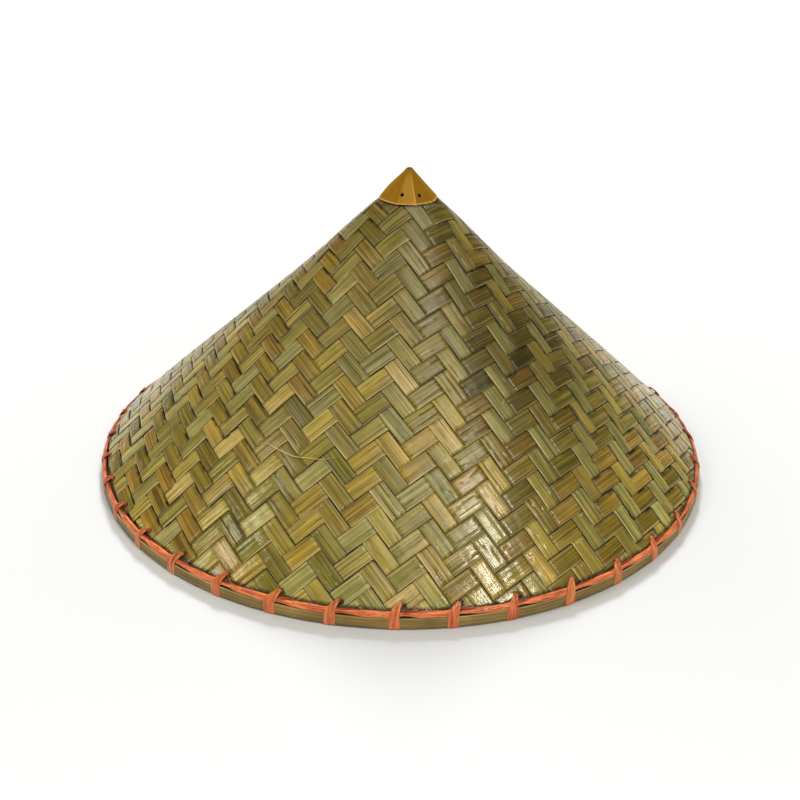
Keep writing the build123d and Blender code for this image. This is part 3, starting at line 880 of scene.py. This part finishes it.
# A closed round of ribbon as (radius, height), mm: a tie, up inside the ring, over the inner weave
# and back down through the ring, and a stitch, out over the cap's edge and back up inside.
TIE_ROUND = [
    (92.35, 98.6), (92.3, 101.5), (92.3, 105.0), (92.7, 107.6), (93.9, 108.3), (95.6, 107.0),
    (96.9, 105.6), (97.1, 104.2), (96.3, 101.8), (95.0, 99.6), (94.3, 98.2), (93.2, 97.8),
]
STITCH_ROUND = [
    (13.3, 187.6), (13.9, 189.6), (15.0, 189.0), (17.2, 186.7), (19.3, 184.4), (19.9, 182.6),
    (18.9, 180.6), (16.8, 178.6), (13.5, 180.5), (12.6, 184.5),
]
TIE_COUNT = 6
STITCH_AZIMUTHS = np.radians([150, 210])


def add_round(batch, azimuth, stations, half_width, thickness, seed):
    """A closed band of cane; stations go clockwise, seen with the axis on the left."""
    path = curve_through(stations + stations[:1], 5)[:-1] * MM
    step = np.roll(path, -1, 0) - np.roll(path, 1, 0)
    step = step / np.linalg.norm(step, axis=1, keepdims=True)
    facing = stacked(-step[:, 1], step[:, 0])
    side = np.array([-1, -0.8, 0, 0.8, 1, 0.8, 0, -0.8])
    lift = np.array([0, 0.5, 0.62, 0.5, 0, -0.5, -0.5, -0.5]) * thickness
    run = np.arange(len(path))[:, None] * MM
    aside = side * half_width * (1 + 0.06 * waves(run / (4 * MM), seed))
    radius = path[:, :1] + facing[:, :1] * lift
    height = path[:, 1:] + facing[:, 1:] * lift
    points = polar(radius, azimuth + aside / radius, height)
    batch.grid(points, stacked(run, aside, seed), RIBBON_TINT * 0.9, loop=True)


def make_ties(material):
    ties = Batch()
    for number in range(TIE_COUNT):
        azimuth = FULL_TURN * (number + 0.5) / TIE_COUNT
        add_round(ties, azimuth, TIE_ROUND, 1.5 * MM, 0.5 * MM, 80 + number)
    ties.piece("ring_ties", material, "head_ring_ties", "cane_ribbon")
    stitches = Batch()
    for number, azimuth in enumerate(STITCH_AZIMUTHS):
        add_round(stitches, azimuth, STITCH_ROUND, 0.9 * MM, 0.5 * MM, 90 + number)
    stitches.piece("cap_back_stitches", material, "cap_stitches", "cane_ribbon")


# ---- materials
class Graph:
    """A material's node tree, with short ways to add nodes and join them."""

    def __init__(self, name):
        self.material = bpy.data.materials.new(name)
        self.material.use_nodes = True
        self.tree = self.material.node_tree
        self.shader = self.tree.nodes["Principled BSDF"]

    def fill(self, node, values):
        for place, value in values:
            socket = node.inputs[place.replace("_", " ") if isinstance(place, str) else place]
            if isinstance(value, bpy.types.NodeSocket):
                self.tree.links.new(value, socket)
            else:
                socket.default_value = value

    def add(self, kind, settings=(), sockets=(), **inputs):
        node = self.tree.nodes.new("ShaderNode" + kind)
        for name, value in settings:
            setattr(node, name, value)
        self.fill(node, [*enumerate(sockets), *inputs.items()])
        return node

    def point_value(self, name, output):
        return self.add("Attribute", [("attribute_name", name)]).outputs[output]

    def tint(self):
        return self.point_value("tint", "Color")

    def noise(self, rates, detail, roughness=0.5, distortion=0.0):
        """Noise with its own rate along each direction of the fibre, in features a metre."""
        scaled = self.add("VectorMath", [("operation", "MULTIPLY")],
                          (self.point_value("fibre", "Vector"), rates)).outputs[0]
        return self.add("TexNoise", Vector=scaled, Scale=1.0, Detail=detail, Roughness=roughness,
                        Distortion=distortion).outputs["Fac"]

    def spread(self, value, low, high, to_low=0.0, to_high=1.0):
        return self.add("MapRange", Value=value, From_Min=low, From_Max=high, To_Min=to_low,
                        To_Max=to_high).outputs[0]

    def math(self, operation, first, second):
        return self.add("Math", [("operation", operation)], (first, second)).outputs[0]

    def mix(self, factor, first, second, blend="MIX"):
        node = self.add("Mix", [("data_type", "RGBA"), ("blend_type", blend)])
        self.fill(node, ((0, factor), (6, first), (7, second)))
        return node.outputs[2]

    def toned(self, color, value, low, high, at_low, at_high):
        """The color times a tone that goes from at_low to at_high with the value."""
        tone = self.mix(self.spread(value, low, high), (*at_low, 1), (*at_high, 1))
        return self.mix(1.0, color, tone, "MULTIPLY")

    def marked(self, color, value, low, high, strength, mark):
        """The color, with this much of the mark's where the value passes from low to high."""
        return self.mix(self.spread(value, low, high, 0.0, strength), color, (*mark, 1))

    def sum(self, first, first_share, second, second_share):
        return self.math("ADD", self.math("MULTIPLY", first, first_share),
                         self.math("MULTIPLY", second, second_share))

    def bump(self, height, distance, strength):
        node = self.add("Bump", Height=height, Distance=distance, Strength=strength)
        return node.outputs["Normal"]

    def finish(self, **inputs):
        self.fill(self.shader, inputs.items())
        return self.material


CRUMPLE_HEIGHTS = (20 * MM, 80 * MM)


def split_bamboo(name, streak, roughness, coat, coat_roughness, wrinkle=0.0):
    """Split bamboo: long fibres, tone that changes along them, dark fibre lines, thin varnish."""
    graph = Graph(name)
    broad = graph.noise((5, 560, 3), 4, 0.7)
    fine = graph.noise((13, 1250, 5), 2, 0.6)
    blotch = graph.noise((55, 120, 7), 4, 0.6)
    speck = graph.noise((420, 900, 9), 2, 0.5)
    color = graph.toned(graph.tint(), broad, 0.37, 0.63, (0.60, 0.60, 0.46), (1.42, 1.40, 1.46))
    color = graph.toned(color, blotch, 0.33, 0.72, (1.16, 1.10, 1.05), (0.76, 0.76, 0.66))
    color = graph.marked(color, fine, 0.58, 0.62, streak, (0.045, 0.026, 0.006))
    color = graph.marked(color, fine, 0.40, 0.34, streak * 0.6, (0.42, 0.33, 0.16))
    color = graph.marked(color, speck, 0.70, 0.76, 0.5, (0.06, 0.03, 0.01))
    settings = {
        "Base_Color": color,
        "Roughness": graph.spread(broad, 0.2, 0.8, roughness - 0.08, roughness + 0.12),
        "Normal": graph.bump(graph.sum(broad, 0.7, fine, 0.4), 0.8 * MM, 0.8),
        "Coat_Weight": coat,
        "Coat_Roughness": graph.spread(graph.point_value("tint", "Alpha"), 0.0, 1.0, 0.6,
                                       coat_roughness),
        "Specular_IOR_Level": 0.3,
    }
    if wrinkle:  # the varnish is more crumpled low down, and duller high up
        place = graph.add("SeparateXYZ", Vector=graph.add("NewGeometry").outputs["Position"])
        crumpled = graph.spread(place.outputs["Z"], *CRUMPLE_HEIGHTS, 1.0, 0.5)
        duller = graph.spread(place.outputs["Z"], *CRUMPLE_HEIGHTS, coat_roughness, 0.32)
        settings["Coat_Roughness"] = graph.math("MAXIMUM", settings["Coat_Roughness"], duller)
        crumple = graph.noise((48, 800, 40), 3, 0.6, 0.6)
        settings["Coat_Normal"] = graph.bump(crumple, wrinkle * MM, crumpled)
    return graph.finish(**settings)


def cane_ribbon():
    """Dyed cane: soft orange red, paler where it is worn, with fine fibres and a little shine."""
    graph = Graph("cane_ribbon")
    broad = graph.noise((60, 700, 4), 4, 0.6)
    fine = graph.noise((110, 3600, 6), 3, 0.6)
    color = graph.toned(graph.tint(), broad, 0.34, 0.68, (0.66, 0.50, 0.42), (1.32, 1.55, 1.7))
    return graph.finish(
        Base_Color=graph.marked(color, fine, 0.57, 0.68, 0.7, (0.22, 0.035, 0.015)),
        Roughness=graph.spread(broad, 0.2, 0.8, 0.36, 0.55),
        Normal=graph.bump(graph.sum(broad, 0.6, fine, 0.5), 0.5 * MM, 0.8),
        Coat_Weight=0.35, Coat_Roughness=0.2, Specular_IOR_Level=0.2,
    )


def amber_sheath():
    """The cap's bamboo sheath: waxy amber with fine lines running down and faint scuffs."""
    graph = Graph("amber_sheath")
    lines = graph.noise((60, 2600, 1), 4, 0.6)
    cloud = graph.noise((110, 260, 1), 3, 0.55)
    color = graph.toned(graph.tint(), lines, 0.3, 0.7, (0.78, 0.74, 0.6), (1.18, 1.2, 1.3))
    return graph.finish(
        Base_Color=graph.marked(color, cloud, 0.55, 0.85, 0.3, (0.36, 0.20, 0.03)),
        Roughness=graph.spread(cloud, 0.2, 0.8, 0.42, 0.60),
        Normal=graph.bump(lines, 0.25 * MM, 0.7),
        Coat_Weight=0.1, Coat_Roughness=0.2, Specular_IOR_Level=0.1,
    )


def dry_leaf():
    """Dry leaf: close parallel veins, brown patches, no shine."""
    graph = Graph("dry_leaf")
    veins = graph.noise((7, 1300, 2), 2, 0.5)
    brown = graph.noise((28, 70, 3), 4, 0.6)
    color = graph.toned(graph.tint(), veins, 0.35, 0.65, (0.70, 0.68, 0.60), (1.25, 1.22, 1.2))
    color = graph.marked(color, brown, 0.5, 0.8, 0.6, (0.10, 0.055, 0.02))
    return graph.finish(Base_Color=color, Roughness=0.8, Normal=graph.bump(veins, 0.3 * MM, 0.8))


# ---- stage
CAMERA_DISTANCE = 3.6569  # in rim radii, from the middle of the base
CAMERA_ELEVATION = radians(29.509)
CAMERA_TARGET = (-0.0041, 0.0, 0.1647)
CAMERA_ROLL = radians(0.70)
CAMERA_LENS = 47.42
SENSOR_WIDTH = 36


def make_camera():
    data = bpy.data.cameras.new("camera")
    data.lens = CAMERA_LENS
    data.sensor_width = SENSOR_WIDTH
    camera = linked("camera", data)
    place = direction(0, CAMERA_ELEVATION) * CAMERA_DISTANCE * RIM_RADIUS
    aim = (Vector(CAMERA_TARGET) * RIM_RADIUS - place).to_track_quat("-Z", "Y").to_matrix().to_4x4()
    camera.matrix_world = Matrix.Translation(place) @ aim @ Matrix.Rotation(CAMERA_ROLL, 4, "Z")
    bpy.context.scene.camera = camera


FLOOR_SIZE = 100  # wide enough for its edge to stay out of sight
FLOOR_TINT = (0.590, 0.605, 0.634, 1)


def make_floor():
    bpy.ops.mesh.primitive_plane_add(size=FLOOR_SIZE, location=(0, 0, loops_low.z - 0.1 * MM))
    floor = bpy.context.object
    floor.name = "floor"
    white = Graph("floor_white").finish(Base_Color=FLOOR_TINT, Roughness=1.0,
                                        Specular_IOR_Level=0.0)
    floor.data.materials.append(white)


WARM = (1.0, 0.93, 0.74)
WHITE = (1, 1, 1)
SKY_STRENGTH = 0.38
# Soft far lights: azimuth from the front to the right, elevation and spread in degrees, power,
# colour and whether the varnish mirrors them.
SUNS = {
    "key": (46, 54, 10, 0.95, WARM, True),
    "top": (22, 68, 30, 0.62, WARM, True),
    "side": (-78, 41, 12, 0.42, WARM, True),
    "back": (180, 39.5, 12, 2.9, WHITE, False),
    "back_left": (-130, 24, 30, 0.7, WHITE, False),
    "back_right": (130, 24, 30, 0.4, WHITE, False),
    "left": (-80, 30, 45, 0.5, WHITE, False),
    "right": (85, 30, 45, 0.05, WHITE, False),
}


def make_lights():
    world = bpy.data.worlds.new("studio")
    bpy.context.scene.world = world
    world.use_nodes = True
    background = world.node_tree.nodes["Background"]
    background.inputs["Color"].default_value = (*WHITE, 1)
    background.inputs["Strength"].default_value = SKY_STRENGTH
    world.cycles_visibility.glossy = False
    for name, (azimuth, elevation, spread, power, color, mirrored) in SUNS.items():
        data = bpy.data.lights.new(name, "SUN")
        data.angle, data.energy, data.color = radians(spread), power, color
        light = linked(name, data)
        light.visible_glossy = mirrored
        towards = direction(radians(azimuth), radians(elevation))
        light.rotation_euler = towards.to_track_quat("Z", "Y").to_euler()
    bpy.context.scene.view_settings.view_transform = "Standard"


# ---- the hat
make_camera()
make_lights()
make_floor()

splint_skin = split_bamboo("varnished_splints", 0.65, 0.45, 0.75, 0.10, wrinkle=0.15)
hoop_skin = split_bamboo("hoop_bamboo", 0.35, 0.55, 0.15, 0.3)
pale_skin = split_bamboo("pale_bamboo", 0.35, 0.55, 0.1, 0.3)
ribbon_skin = cane_ribbon()

make_outer_weave(splint_skin)
make_loose_fibre(splint_skin)
make_hoops(hoop_skin)
make_strand(ribbon_skin)
make_loops(ribbon_skin)
make_cap(amber_sheath())
make_lining(dry_leaf())
make_inner_weave(pale_skin)
make_head_ring(pale_skin)
make_ties(ribbon_skin)
